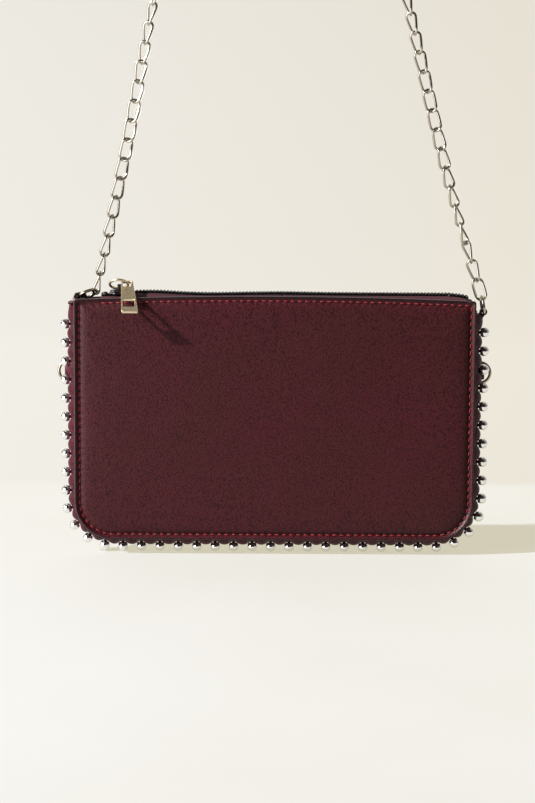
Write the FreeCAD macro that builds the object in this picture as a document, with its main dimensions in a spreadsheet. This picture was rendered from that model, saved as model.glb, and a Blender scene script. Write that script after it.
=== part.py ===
import FreeCAD, Part
import math
import os
import Sketcher

# Chain wallet: two padded leather panels joined by a rounded gusset, a zipped mouth,
# a row of ball studs round the gusset, and a chain strap between two D-rings.
# Millimetres, X to the right, Y away from the front, Z up, studs standing on Z = 0.
# Every Y below is measured from the wallet's middle plane, which lies at mid_y.

SIZES = [
    ("mid_y", 5.97),
    ("panel_half", 100.0),
    ("panel_bottom", 7.95),
    ("panel_top", 128.5),
    ("panel_rise", 2.0),
    ("panel_inset", 0.0),
    ("panel_corner", 19.0),
    ("leather", 1.6),
    ("inner_half", 7.9),
    ("board", 0.5),
    ("board_inset", 4.0),
    ("board_top", 114.5),
    ("lining_sheet", 0.5),
    ("lining_inset", 4.0),
    ("lining_top", 124.0),
    ("foot_outer", 1.5),
    ("foot_inner", 3.0),
    ("foot_lining", 3.6),
    ("crest_outer", 4.2),
    ("crest_inner", 3.0),
    ("crest_lining", 2.5),
    ("gusset_left_top", 126.2),
    ("gusset_right_top", 119.6),
    ("stud_radius", 2.65),
    ("stud_reach", 5.3),
    ("stud_seat", 3.9),
    ("shank_radius", 0.8),
    ("stud_first", 115.6),
    ("stud_last", 112.4),
    ("washer_radius", 1.9),
    ("washer_sheet", 0.5),
    ("washer_gap", 0.35),
    ("pocket_half", 91.0),
    ("pocket_bottom", 16.0),
    ("pocket_sheet", 0.5),
    ("card_gap", 1.0),
    ("pocket_rim", 2.0),
    ("low_pocket_top", 62.0),
    ("high_pocket_top", 84.0),
    ("high_stop", 34.0),
    ("slip_pocket_top", 95.0),
    ("tape", 0.5),
    ("flange_half", 95.5),
    ("flange_bottom", 117.0),
    ("flange_top", 127.6),
    ("fold_y", 7.1),
    ("fold_z", 128.2),
    ("tape_bend_y", 4.6),
    ("tape_z", 129.1),
    ("coil_inner", 0.5),
    ("coil_outer", 1.7),
    ("coil_height", 1.6),
    ("coil_left", -87.0),
    ("coil_right", 90.0),
    ("mouth_left", -58.0),
    ("mouth_right", 66.0),
    ("mouth_gap", 0.3),
    ("stop_length", 1.8),
    ("top_stop_x", -85.0),
    ("bottom_stop_x", 87.6),
    ("slider_x", -78.0),
    ("slider_length", 9.0),
    ("slider_half", 4.2),
    ("slider_low", 127.75),
    ("slider_high", 132.9),
    ("cavity_half", 3.1),
    ("cavity_low", 128.85),
    ("cavity_high", 131.45),
    ("slot_high", 129.85),
    ("wedge_length", 2.2),
    ("wedge_half", 0.32),
    ("crown_width", 2.4),
    ("crown_half", 2.7),
    ("crown_leg", 1.2),
    ("crown_high", 135.8),
    ("tunnel_high", 134.9),
    ("pull_ring_z", 133.9),
    ("pull_ring_radius", 4.55),
    ("pull_ring_wire", 0.65),
    ("pull_ring_tilt", 32.0),
    ("tab_lean", 51.0),
    ("tab_above", 2.0),
    ("tab_below", 20.8),
    ("tab_top_width", 5.9),
    ("tab_bottom_width", 8.4),
    ("tab_sheet", 1.5),
    ("tab_offset", -0.6),
    ("eye_half_length", 1.25),
    ("eye_width", 4.2),
    ("window_start", 11.8),
    ("window_end", 17.2),
    ("window_width", 5.7),
    ("tab_skew", 2.6),
    ("window_skew", 1.6),
    ("ring_wire", 0.8),
    ("top_ring_half", 4.2),
    ("top_ring_depth", 7.6),
    ("left_bar_x", -96.6),
    ("left_bar_z", 129.45),
    ("left_ring_tilt", 24.0),
    ("right_bar_x", 104.6),
    ("right_bar_z", 122.9),
    ("right_ring_tilt", 97.8),
    ("loop_clearance", 0.15),
    ("loop_sheet", 1.1),
    ("top_loop_half", 3.0),
    ("cap_half", 6.8),
    ("cap_sheet", 1.2),
    ("left_tail", 6.8),
    ("right_tail_low", 114.6),
    ("side_bar_x", 104.3),
    ("side_bar_y", 6.1),
    ("side_ring_z", 91.5),
    ("side_ring_half", 5.2),
    ("side_ring_depth", 4.9),
    ("side_loop_half", 3.4),
    ("link_wire", 0.62),
    ("link_half_width", 2.6),
    ("link_length", 11.1),
    ("link_slack", 0.3),
    ("chain_radius", 3.25),
]

STUD_COUNT = 45

doc = FreeCAD.newDocument("chain_wallet")
sheet = doc.addObject("Spreadsheet::Sheet", "Sizes")
for row, (name, value) in enumerate(SIZES, start=1):
    sheet.set("A%d" % row, name)
    sheet.set("B%d" % row, str(value))
    sheet.setAlias("B%d" % row, name)
doc.recompute()
size = dict(SIZES)
nodes = []


def vector(x, y, z):
    return FreeCAD.Vector(x, y, z)


def keep(thing):
    """Adds a finished sub-part to the list that is checked and written."""
    nodes.append(thing)
    return thing


def bind(thing, **texts):
    """Binds properties to expressions in which a bare name is a cell of the sheet."""
    for prop, text in texts.items():
        thing.setExpression(prop.replace("__", "."), in_sheet(text))


def in_sheet(text):
    """Puts the sheet's name before each of its cells in an expression."""
    words = []
    for word in text.split():
        bare = word.strip("()-")
        if bare in size:
            word = word.replace(bare, "Sizes." + bare)
        words.append(word)
    return " ".join(words)


def plane_of(body, role):
    for feature in body.Origin.OriginFeatures:
        if feature.Role == role:
            return feature
    raise ValueError("no plane " + role)


def new_sketch(body, name, role):
    sketch = body.newObject("Sketcher::SketchObject", name)
    sketch.AttachmentSupport = (plane_of(body, role), "")
    sketch.MapMode = "FlatFace"
    return sketch


def fix(sketch, name, text, *constraint):
    """Adds a named dimension to a sketch and binds it to an expression."""
    number = sketch.addConstraint(Sketcher.Constraint(*constraint))
    sketch.renameConstraint(number, name)
    sketch.setExpression("Constraints." + name, in_sheet(text))


def solid_feature(label, shape):
    """Keeps a shape made with Part's own functions, moved back to the middle plane."""
    feature = doc.addObject("Part::Feature", label)
    feature.Shape = shape
    feature.Placement = FreeCAD.Placement(vector(0, size["mid_y"], 0), FreeCAD.Rotation())
    return feature


def placed(shape, x, y, z, rotation):
    """A turned and moved copy whose place is in its geometry."""
    return shape.transformed(FreeCAD.Placement(vector(x, y, z), rotation).toMatrix(), True)


# ---------------------------------------------------------------- flat plates

def plate(label, inset, top, thickness, front_face):
    """A flat sheet with the wallet's outline, drawn in on all sides by an inset."""
    half = size["panel_half"] - size[inset]
    low = size["panel_bottom"] + size[inset]
    corner = size["panel_corner"] - size[inset]
    high = size[top]
    rise = size["panel_rise"]
    crown = (half * half + rise * rise) / (2 * rise)
    spread = math.asin(half / crown)
    body = keep(doc.addObject("PartDesign::Body", label))
    sketch = new_sketch(body, label + "_outline", "XZ_Plane")
    up = vector(0, 0, 1)
    quarter = math.pi / 2
    left_low = Part.Circle(vector(corner - half, low + corner, 0), up, corner)
    right_low = Part.Circle(vector(half - corner, low + corner, 0), up, corner)
    arch = Part.Circle(vector(0, high + rise - crown, 0), up, crown)
    sketch.addGeometry(Part.LineSegment(vector(-half, high, 0), vector(-half, low + corner, 0)))
    sketch.addGeometry(Part.ArcOfCircle(left_low, 2 * quarter, 3 * quarter))
    sketch.addGeometry(Part.LineSegment(vector(corner - half, low, 0), vector(half - corner, low, 0)))
    sketch.addGeometry(Part.ArcOfCircle(right_low, 3 * quarter, 4 * quarter))
    sketch.addGeometry(Part.LineSegment(vector(half, low + corner, 0), vector(half, high, 0)))
    sketch.addGeometry(Part.ArcOfCircle(arch, quarter - spread, quarter + spread))
    for first in range(4):
        sketch.addConstraint(Sketcher.Constraint("Tangent", first, 2, first + 1, 1))
    sketch.addConstraint(Sketcher.Constraint("Coincident", 4, 2, 5, 1))
    sketch.addConstraint(Sketcher.Constraint("Coincident", 5, 2, 0, 1))
    sketch.addConstraint(Sketcher.Constraint("Vertical", 0))
    sketch.addConstraint(Sketcher.Constraint("Horizontal", 2))
    sketch.addConstraint(Sketcher.Constraint("Vertical", 4))
    sketch.addConstraint(Sketcher.Constraint("Equal", 1, 3))
    sketch.addConstraint(Sketcher.Constraint("PointOnObject", 5, 3, -2))
    reach = "panel_half - " + inset
    fix(sketch, "corner", "panel_corner - " + inset, "Radius", 1, corner)
    fix(sketch, "left", reach, "DistanceX", 0, 1, -1, 1, half)
    fix(sketch, "right", reach, "DistanceX", -1, 1, 4, 2, half)
    fix(sketch, "low", "panel_bottom + " + inset, "DistanceY", -1, 1, 2, 1, low)
    fix(sketch, "high", top, "DistanceY", -1, 1, 0, 1, high)
    arch_radius = "( ( %s ) ^ 2 + panel_rise ^ 2 ) / ( 2 * panel_rise )" % reach
    fix(sketch, "arch", arch_radius, "Radius", 5, crown)
    pad = body.newObject("PartDesign::Pad", label + "_pad")
    pad.Profile = sketch
    pad.Reversed = True
    bind(pad, Length=thickness)
    bind(body, Placement__Base__y="mid_y + " + front_face)
    return body


plate("front_panel", "panel_inset", "panel_top", "leather", "0 - inner_half - leather")
plate("back_panel", "panel_inset", "panel_top", "leather", "inner_half")
plate("front_board", "board_inset", "board_top", "board", "0 - inner_half")
plate("back_board", "board_inset", "board_top", "board", "inner_half - board")
plate("front_lining", "lining_inset", "lining_top", "lining_sheet",
      "0 - inner_half + board")
plate("back_lining", "lining_inset", "lining_top", "lining_sheet",
      "inner_half - board - lining_sheet")


# ---------------------------------------------------------------- gusset

def gusset_path():
    """The panel's outline from the top of the left side, round the bottom, to the right."""
    half = size["panel_half"]
    low = size["panel_bottom"]
    corner = size["panel_corner"]
    bend = corner * math.sqrt(0.5)
    left_top = vector(-half, 0, size["gusset_left_top"])
    left_bend = vector(-half, 0, low + corner)
    left_mid = vector(corner - half - bend, 0, low + corner - bend)
    left_end = vector(corner - half, 0, low)
    right_start = vector(half - corner, 0, low)
    right_mid = vector(half - corner + bend, 0, low + corner - bend)
    right_bend = vector(half, 0, low + corner)
    right_top = vector(half, 0, size["gusset_right_top"])
    return Part.Wire([
        Part.LineSegment(left_top, left_bend).toShape(),
        Part.Arc(left_bend, left_mid, left_end).toShape(),
        Part.LineSegment(left_end, right_start).toShape(),
        Part.Arc(right_start, right_mid, right_bend).toShape(),
        Part.LineSegment(right_bend, right_top).toShape(),
    ])


def band(outer_foot, outer_crest, inner_foot, inner_crest):
    """A rounded band swept along the outline: its feet lie against the two panels."""
    edge = -size["panel_half"]
    top = size["gusset_left_top"]
    half = size["inner_half"]
    front_out = vector(edge + outer_foot, -half, top)
    back_out = vector(edge + outer_foot, half, top)
    front_in = vector(edge + inner_foot, -half, top)
    back_in = vector(edge + inner_foot, half, top)
    section = Part.Wire([
        Part.Arc(front_out, vector(edge - outer_crest, 0, top), back_out).toShape(),
        Part.LineSegment(back_out, back_in).toShape(),
        Part.Arc(back_in, vector(edge - inner_crest, 0, top), front_in).toShape(),
        Part.LineSegment(front_in, front_out).toShape(),
    ])
    return gusset_path().makePipeShell([section], True, False)


def stud_places():
    """Centre and outward direction of each stud, evenly spaced along the crest."""
    half = size["panel_half"]
    corner = size["panel_corner"]
    turn = corner + size["stud_reach"]
    bend_z = size["panel_bottom"] + corner
    left_run = size["stud_first"] - bend_z
    right_run = size["stud_last"] - bend_z
    quarter = turn * math.pi / 2
    bottom_run = 2 * (half - corner)
    total = left_run + quarter + bottom_run + quarter + right_run
    places = []
    for number in range(STUD_COUNT):
        along = total * number / (STUD_COUNT - 1)
        if along <= left_run:
            spot = vector(-half - size["stud_reach"], 0, size["stud_first"] - along)
            out = vector(-1, 0, 0)
        elif along <= left_run + quarter:
            angle = math.pi + (along - left_run) / turn
            out = vector(math.cos(angle), 0, math.sin(angle))
            spot = vector(corner - half, 0, bend_z) + out * turn
        elif along <= left_run + quarter + bottom_run:
            along = along - left_run - quarter
            out = vector(0, 0, -1)
            spot = vector(corner - half + along, 0, size["panel_bottom"] - size["stud_reach"])
        elif along <= left_run + 2 * quarter + bottom_run:
            angle = 1.5 * math.pi + (along - left_run - quarter - bottom_run) / turn
            out = vector(math.cos(angle), 0, math.sin(angle))
            spot = vector(half - corner, 0, bend_z) + out * turn
        else:
            along = along - left_run - 2 * quarter - bottom_run
            out = vector(1, 0, 0)
            spot = vector(half + size["stud_reach"], 0, bend_z + along)
        places.append((spot, out))
    return places


def stud(spot, out):
    """A ball with a flat seat and a shank that goes in through the band."""
    radius = size["stud_radius"]
    shank = size["shank_radius"]
    seat = size["stud_reach"] - size["stud_seat"]
    seat_half = math.sqrt(radius ** 2 - seat ** 2)
    tip = size["stud_reach"] - size["crest_lining"] + size["washer_gap"]
    ball = Part.Arc(vector(seat_half, 0, -seat), vector(radius, 0, 0), vector(0, 0, radius))
    corners = [vector(0, 0, radius), vector(0, 0, -tip), vector(shank, 0, -tip),
               vector(shank, 0, -seat), vector(seat_half, 0, -seat)]
    outline = Part.Wire([ball.toShape()] + Part.makePolygon(corners).Edges)
    turned = Part.Face(outline).revolve(vector(0, 0, 0), vector(0, 0, 1), 360)
    return placed(turned, spot.x, spot.y, spot.z, FreeCAD.Rotation(vector(0, 0, 1), out))


def washer(spot, out):
    """The disc inside the lining that the shank is peened over."""
    face = spot - out * (size["stud_reach"] - size["crest_lining"] + size["washer_gap"])
    return Part.makeCylinder(size["washer_radius"], size["washer_sheet"], face, -out)


places = stud_places()
studs = [stud(spot, out) for spot, out in places]
groups = {"studs_left": [], "studs_bottom": [], "studs_right": []}
for shape, (spot, out) in zip(studs, places):
    if out.z < -0.9:
        groups["studs_bottom"].append(shape)
    elif out.x < 0:
        groups["studs_left"].append(shape)
    else:
        groups["studs_right"].append(shape)

gusset = band(size["foot_outer"], size["crest_outer"], size["foot_inner"], size["crest_inner"])
keep(solid_feature("gusset", gusset.cut(Part.makeCompound(studs))))
gusset_lining = band(size["foot_inner"], size["crest_inner"], size["foot_lining"],
                     size["crest_lining"])
keep(solid_feature("gusset_lining", gusset_lining.cut(Part.makeCompound(studs))))
for label, shapes in groups.items():
    keep(solid_feature(label, Part.makeCompound(shapes)))
keep(solid_feature("stud_washers", Part.makeCompound([washer(*place) for place in places])))


# ---------------------------------------------------------------- blocks and pockets

def block(label, length, width, height, x, y, z):
    """A box whose sides and lowest corner are expressions of the sheet's cells."""
    box = doc.addObject("Part::Box", label)
    bind(box, Length=length, Width=width, Height=height, Placement__Base__x=x,
         Placement__Base__y="mid_y + " + y, Placement__Base__z=z)
    return box


def joined(label, *parts):
    fuse = doc.addObject("Part::MultiFuse", label)
    fuse.Shapes = list(parts)
    return fuse


def pocket(label, top, face, side, rungs):
    """A slip pocket: a sheet held off the lining by seams at its sides and bottom."""
    sheet_y = face if side > 0 else face + " + card_gap"
    seam_y = face + " + pocket_sheet" if side > 0 else face
    height = top + " - pocket_bottom"
    keep(block(label, "2 * pocket_half", "pocket_sheet", height, "0 - pocket_half", sheet_y,
               "pocket_bottom"))
    seams = []
    for name, x in (("left", "0 - pocket_half"), ("middle", "0 - pocket_rim / 2"),
                    ("right", "pocket_half - pocket_rim")):
        seams.append(block(label + "_" + name, "pocket_rim", "card_gap", height, x, seam_y,
                           "pocket_bottom"))
    run = "pocket_half - 1.5 * pocket_rim"
    for number, z in enumerate(rungs):
        for name, x in (("left", "pocket_rim - pocket_half"), ("right", "pocket_rim / 2")):
            seams.append(block("%s_rung_%s%d" % (label, name, number), run, "card_gap",
                               "pocket_rim", x, seam_y, z))
    group = doc.addObject("Part::Compound", label + "_seams")
    group.Links = seams
    keep(group)


high_face = "inner_half - board - lining_sheet - card_gap - pocket_sheet"
pocket("card_pocket_high", "high_pocket_top", high_face, 1, ["pocket_bottom", "high_stop"])
pocket("card_pocket_low", "low_pocket_top", high_face + " - card_gap - pocket_sheet", 1,
       ["pocket_bottom"])
pocket("slip_pocket", "slip_pocket_top", "0 - inner_half + board + lining_sheet", -1,
       ["pocket_bottom"])


# ---------------------------------------------------------------- zip

def bar(points, start, end):
    """A straight bar along X whose section is a polygon of (y, z) points."""
    corners = [vector(start, y, z) for y, z in points]
    face = Part.Face(Part.makePolygon(corners + corners[:1]))
    return face.extrude(vector(end - start, 0, 0))


def tape_section(side):
    """The tape from its fold beside the panel to its edge under the coil."""
    thick = size["tape"]
    low = size["tape_z"]
    fold = side * (size["fold_y"] - size["mouth_gap"])
    bend = side * size["tape_bend_y"]
    edge = side * size["coil_inner"]
    return [(fold, size["fold_z"]), (fold, size["fold_z"] + thick), (bend, low + thick),
            (edge, low + thick), (edge, low), (bend, low)]


def coil_bar(side, start, end):
    low = size["tape_z"] + size["tape"]
    inner = side * size["coil_inner"]
    outer = side * size["coil_outer"]
    high = low + size["coil_height"]
    return bar([(inner, low), (outer, low), (outer, high), (inner, high)], start, end)


def tape_bar(side, start, end):
    return bar(tape_section(side), start, end)


def flange(side):
    """The tape's sewn edge, between the panel and the lining, with a lip to the fold."""
    inner = size["inner_half"]
    thick = size["tape"]
    low = size["flange_bottom"]
    high = size["flange_top"]
    section = [(side * inner, low), (side * inner, high), (side * (inner - thick), high),
               (side * (inner - thick), low)]
    return bar(section, -size["flange_half"], size["flange_half"])


def end_web(side, start, end):
    """Joins a fixed end of the tape to the sewn edge."""
    inner = size["inner_half"]
    thick = size["tape"]
    fold = size["fold_y"] - size["mouth_gap"]
    section = [(side * inner, size["flange_top"] - thick), (side * inner, size["fold_z"] + thick),
               (side * fold, size["fold_z"] + thick), (side * fold, size["fold_z"]),
               (side * (inner - thick), size["fold_z"]),
               (side * (inner - thick), size["flange_top"] - thick)]
    return bar(section, start, end)


gap = size["mouth_gap"]
for name, side in (("front", -1), ("back", 1)):
    fixed = flange(side)
    for start, end in ((size["coil_left"], size["mouth_left"]),
                       (size["mouth_right"], size["coil_right"])):
        fixed = fixed.fuse([tape_bar(side, start, end), end_web(side, start, end)])
    keep(solid_feature("zip_tape_" + name, fixed.removeSplitter()))
    ends = [coil_bar(side, size["coil_left"], size["mouth_left"]),
            coil_bar(side, size["mouth_right"], size["coil_right"])]
    keep(solid_feature("zip_coil_ends_" + name, Part.makeCompound(ends)))
    start = size["mouth_left"] + gap
    end = size["mouth_right"] - gap
    keep(solid_feature("mouth_tape_" + name, tape_bar(side, start, end)))
    keep(solid_feature("mouth_coil_" + name, coil_bar(side, start, end)))


def stop(label, x):
    """A stop clamped over both coils: a bridge above them with two cheeks outside."""
    parts = [
        block(label + "_bridge", "stop_length", "2 * ( coil_outer + tape )", "tape",
              x + " - stop_length / 2", "0 - coil_outer - tape",
              "tape_z + tape + coil_height"),
    ]
    for cheek, y in (("front", "0 - coil_outer - tape"), ("back", "coil_outer")):
        parts.append(block(label + "_" + cheek, "stop_length", "tape", "coil_height + tape",
                           x + " - stop_length / 2", y, "tape_z + tape"))
    return keep(joined(label, *parts))


stop("top_stop", "top_stop_x")
stop("bottom_stop", "bottom_stop_x")


def slider():
    """Two plates on a wedge, with rims that leave a slot for the tape on each side."""
    left = "slider_x - slider_length / 2"
    plates = joined(
        "slider_body",
        block("slider_top", "slider_length", "2 * slider_half", "slider_high - cavity_high",
              left, "0 - slider_half", "cavity_high"),
        block("slider_base", "slider_length", "2 * slider_half", "cavity_low - slider_low",
              left, "0 - slider_half", "slider_low"),
        block("slider_wedge", "wedge_length", "2 * wedge_half", "cavity_high - cavity_low",
              left, "0 - wedge_half", "cavity_low"),
        block("slider_front_rim", "slider_length", "slider_half - cavity_half",
              "cavity_high - slot_high", left, "0 - slider_half", "slot_high"),
        block("slider_back_rim", "slider_length", "slider_half - cavity_half",
              "cavity_high - slot_high", left, "cavity_half", "slot_high"),
    )
    crown_left = "slider_x - crown_width / 2"
    legs = "crown_high - slider_high"
    crown = joined(
        "slider_crown",
        block("crown_front", "crown_width", "crown_leg", legs, crown_left, "0 - crown_half",
              "slider_high"),
        block("crown_back", "crown_width", "crown_leg", legs, crown_left,
              "crown_half - crown_leg", "slider_high"),
        block("crown_top", "crown_width", "2 * crown_half", "crown_high - tunnel_high",
              crown_left, "0 - crown_half", "tunnel_high"),
    )
    keep(plates)
    keep(crown)


slider()


def pull_ring_centre():
    tilt = math.radians(size["pull_ring_tilt"])
    reach = size["pull_ring_radius"]
    return vector(size["slider_x"], -reach * math.cos(tilt),
                  size["pull_ring_z"] + reach * math.sin(tilt))


def pull_ring():
    """A round wire ring through the crown, leaning up and to the front."""
    ring = doc.addObject("Part::Torus", "pull_ring")
    bind(ring, Radius1="pull_ring_radius", Radius2="pull_ring_wire",
         Placement__Base__x="slider_x",
         Placement__Base__y="mid_y - pull_ring_radius * cos( pull_ring_tilt * 1 deg )",
         Placement__Base__z="pull_ring_z + pull_ring_radius * sin( pull_ring_tilt * 1 deg )")
    ring.Placement.Rotation = FreeCAD.Rotation(vector(1, 0, 0), -size["pull_ring_tilt"])
    keep(ring)


def pull_tab():
    """A tapered plate with an eye for the ring and a window near its free end."""
    body = keep(doc.addObject("PartDesign::Body", "pull_tab"))
    sketch = new_sketch(body, "pull_tab_outline", "XZ_Plane")
    top = size["tab_above"]
    low = -size["tab_below"]
    shift = size["tab_skew"]
    wide = size["tab_bottom_width"] / 2
    slim = size["tab_top_width"] / 2
    outline = [(-slim, top), (-wide + shift, low), (wide + shift, low), (slim, top)]
    eye = size["eye_half_length"]
    eye_half = size["eye_width"] / 2
    eye_box = [(-eye_half, eye), (-eye_half, -eye), (eye_half, -eye), (eye_half, eye)]
    start = -size["window_start"]
    end = -size["window_end"]
    window = size["window_width"] / 2
    skew = size["window_skew"]
    slope = (shift - skew) * (start - end) / (start - low)
    window_box = [(-window + skew, start), (-window + skew + slope, end),
                  (window + skew + slope, end), (window + skew, start)]
    for corners in (outline, eye_box, window_box):
        first = sketch.GeometryCount
        for number, (x, z) in enumerate(corners):
            next_x, next_z = corners[(number + 1) % 4]
            sketch.addGeometry(Part.LineSegment(vector(x, z, 0), vector(next_x, next_z, 0)))
        for number in range(4):
            ahead = first + (number + 1) % 4
            sketch.addConstraint(Sketcher.Constraint("Coincident", first + number, 2, ahead, 1))
    pad = body.newObject("PartDesign::Pad", "pull_tab_pad")
    pad.Profile = sketch
    pad.Midplane = True
    bind(pad, Length="tab_sheet")
    hook = pull_ring_centre()
    place = vector(hook.x + size["pull_ring_radius"] + size["tab_offset"],
                   hook.y + size["mid_y"], hook.z)
    body.Placement = FreeCAD.Placement(
        place, FreeCAD.Rotation(vector(1, 0, 0), -size["tab_lean"]))


pull_ring()
pull_tab()


# ---------------------------------------------------------------- rings and their loops

def d_ring(half, depth):
    """A wire D in the XZ plane's place: its straight side on Y, its bow towards +X."""
    wire = size["ring_wire"]
    low = vector(0, -half, 0)
    high = vector(0, half, 0)
    arc = Part.Arc(low, vector(depth, 0, 0), high)
    start = arc.tangent(arc.FirstParameter)[0]
    section = Part.Wire(Part.makeCircle(wire, low, start))
    bow = Part.Wire(arc.toShape()).makePipeShell([section], True, False)
    straight = Part.makeCylinder(wire, 2 * half, low, vector(0, 1, 0))
    return straight.fuse([bow, Part.makeSphere(wire, low), Part.makeSphere(wire, high)])


def loop(half, axis):
    """A leather sleeve round a ring's straight side."""
    inner = size["ring_wire"] + size["loop_clearance"]
    outer = inner + size["loop_sheet"]
    sleeve = Part.makeCylinder(outer, 2 * half, axis * -half, axis)
    return sleeve.cut(Part.makeCylinder(inner, 2 * half, axis * -half, axis))


def boxed(x_low, x_high, y_low, y_high, z_low, z_high):
    return Part.makeBox(x_high - x_low, y_high - y_low, z_high - z_low,
                        vector(x_low, y_low, z_low))


def profile(points, half_width):
    """A prism across the wallet whose section is a polygon of (x, z) points."""
    corners = [vector(x, -half_width, z) for x, z in points]
    face = Part.Face(Part.makePolygon(corners + corners[:1]))
    return face.extrude(vector(0, 2 * half_width, 0))


def right_tail_points(x, z):
    """The strip that runs from the right sleeve down inside the gusset's lining."""
    low = size["right_tail_low"]
    return [(x - 2.05, z), (x - 2.05, z - 1.5), (x - 3.8, z - 2.3), (x - 3.8, low),
            (x - 2.7, low), (x - 2.7, z - 3.0), (x - 1.0, z - 2.3), (x - 0.95, z)]


bore = size["ring_wire"] + size["loop_clearance"]
loop_outer = bore + size["loop_sheet"]
half = size["top_loop_half"]
deep = vector(0, 1, 0)
upright = vector(0, 0, 1)
no_turn = FreeCAD.Rotation()

left_x = size["left_bar_x"]
left_z = size["left_bar_z"]
top_ring = d_ring(size["top_ring_half"], size["top_ring_depth"])
left_turn = FreeCAD.Rotation(deep, -size["left_ring_tilt"])
keep(solid_feature("top_ring_left", placed(top_ring, left_x, 0, left_z, left_turn)))
left_loop = placed(loop(half, deep), left_x, 0, left_z, no_turn)
left_tail = boxed(left_x - size["left_tail"], left_x, -half, half, left_z - loop_outer,
                  left_z - loop_outer + size["loop_sheet"])
left_bore = placed(Part.makeCylinder(bore, 2 * half, deep * -half, deep), left_x, 0, left_z,
                   no_turn)
keep(solid_feature("top_loop_left", left_loop.fuse(left_tail.cut(left_bore)).removeSplitter()))

right_x = size["right_bar_x"]
right_z = size["right_bar_z"]
right_turn = FreeCAD.Rotation(deep, -size["right_ring_tilt"])
keep(solid_feature("top_ring_right", placed(top_ring, right_x, 0, right_z, right_turn)))
right_loop = placed(loop(half, deep), right_x, 0, right_z, no_turn)
right_tail = profile(right_tail_points(right_x, right_z), half)
right_bore = placed(Part.makeCylinder(bore, 2 * half, deep * -half, deep), right_x, 0, right_z,
                    no_turn)
right_shape = right_loop.fuse(right_tail.cut(right_bore)).removeSplitter()
keep(solid_feature("top_loop_right", right_shape))

side_ring = d_ring(size["side_ring_half"], size["side_ring_depth"])
stand = FreeCAD.Rotation(vector(1, 0, 0), 90)
for name, sign in (("left", -1), ("right", 1)):
    face_out = FreeCAD.Rotation(upright, 0 if sign > 0 else 180).multiply(stand)
    x = sign * size["side_bar_x"]
    y = size["side_bar_y"]
    z = size["side_ring_z"]
    keep(solid_feature("side_ring_" + name, placed(side_ring, x, y, z, face_out)))
    sleeve = placed(loop(size["side_loop_half"], upright), x, y, z, no_turn)
    keep(solid_feature("side_loop_" + name, sleeve))


# Folded leather ends close the mouth between the zip and the gusset.
cap = size["cap_sheet"]
cap_half = size["cap_half"]
left_cap_z = left_z - loop_outer
left_cap = boxed(-103.4, -89.0, -cap_half, cap_half, left_cap_z - cap, left_cap_z)
keep(solid_feature("end_cap_left", left_cap))
right_cap = profile([(91.0, 126.2), (95.0, 126.0), (100.4, 122.4), (101.2, 123.4),
                     (95.6, 127.2), (91.0, 127.4)], cap_half)
keep(solid_feature("end_cap_right", right_cap))


# ---------------------------------------------------------------- chain strap

CHAIN_ROUTE = [
    (-77.6, 186.0),
    (-68.6, 234.0),
    (-61.0, 277.0),
    (-49.0, 312.0),
    (-24.0, 336.0),
    (9.0, 342.0),
    (39.0, 330.0),
    (58.0, 302.0),
    (67.5, 264.0),
    (78.5, 218.0),
    (90.2, 172.0),
]


def unit(x, z):
    length = math.hypot(x, z)
    return vector(x / length, 0, z / length)


def ring_tip(x, z, tilt):
    angle = math.radians(tilt)
    depth = size["top_ring_depth"]
    return vector(x + depth * math.cos(angle), 0, z + depth * math.sin(angle))


left_tip = ring_tip(left_x, left_z, size["left_ring_tilt"])
right_tip = ring_tip(right_x, right_z, size["right_ring_tilt"])
hang = size["ring_wire"] + size["link_wire"] + size["link_slack"]
left_way = unit(CHAIN_ROUTE[0][0] - left_tip.x, CHAIN_ROUTE[0][1] - left_tip.z)
right_way = unit(CHAIN_ROUTE[-1][0] - right_tip.x, CHAIN_ROUTE[-1][1] - right_tip.z)


def end_link(tip, way):
    """The link that hangs on a ring: a wire oval in the XZ plane along the strap."""
    across = vector(way.z, 0, -way.x)
    low = tip - way * hang
    reach = size["link_half_width"]
    straight = size["link_length"] - 2 * reach
    start = low + way * reach
    end = start + way * straight
    path = Part.Wire([
        Part.LineSegment(start - across * reach, end - across * reach).toShape(),
        Part.Arc(end - across * reach, end + way * reach, end + across * reach).toShape(),
        Part.LineSegment(end + across * reach, start + across * reach).toShape(),
        Part.Arc(start + across * reach, low, start - across * reach).toShape(),
    ])
    section = Part.Wire(Part.makeCircle(size["link_wire"], start - across * reach, way))
    return path.makePipeShell([section], True, False), low + way * size["link_length"]


def rounded_route(points):
    """Straight runs joined by tangent arcs as large as the shorter run allows."""
    edges = []
    last = points[0]
    radii = []
    for before, corner, after in zip(points, points[1:], points[2:]):
        back = before - corner
        ahead = after - corner
        turn = math.pi - back.getAngle(ahead)
        setback = 0.45 * min(back.Length, ahead.Length)
        radii.append(setback / math.tan(turn / 2))
        back.normalize()
        ahead.normalize()
        start = corner + back * setback
        end = corner + ahead * setback
        centre_way = back + ahead
        centre_way.normalize()
        centre = corner + centre_way * (radii[-1] / math.cos(turn / 2))
        middle = centre - centre_way * radii[-1]
        edges.append(Part.LineSegment(last, start).toShape())
        edges.append(Part.Arc(start, middle, end).toShape())
        last = end
    edges.append(Part.LineSegment(last, points[-1]).toShape())
    return Part.Wire(edges), radii


left_link, left_top = end_link(left_tip, left_way)
right_link, right_top = end_link(right_tip, right_way)
keep(solid_feature("chain_end_link_left", left_link))
keep(solid_feature("chain_end_link_right", right_link))
route = [left_top + left_way * size["link_wire"]]
route.extend(vector(x, 0, z) for x, z in CHAIN_ROUTE)
route.append(right_top + right_way * size["link_wire"])
strap_path, strap_radii = rounded_route(route)
chain_section = Part.Wire(Part.makeCircle(size["chain_radius"], route[0], left_way))
strap = strap_path.makePipeShell([chain_section], True, False)
keep(solid_feature("chain_strap", strap))


# ---------------------------------------------------------------- check and write

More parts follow.
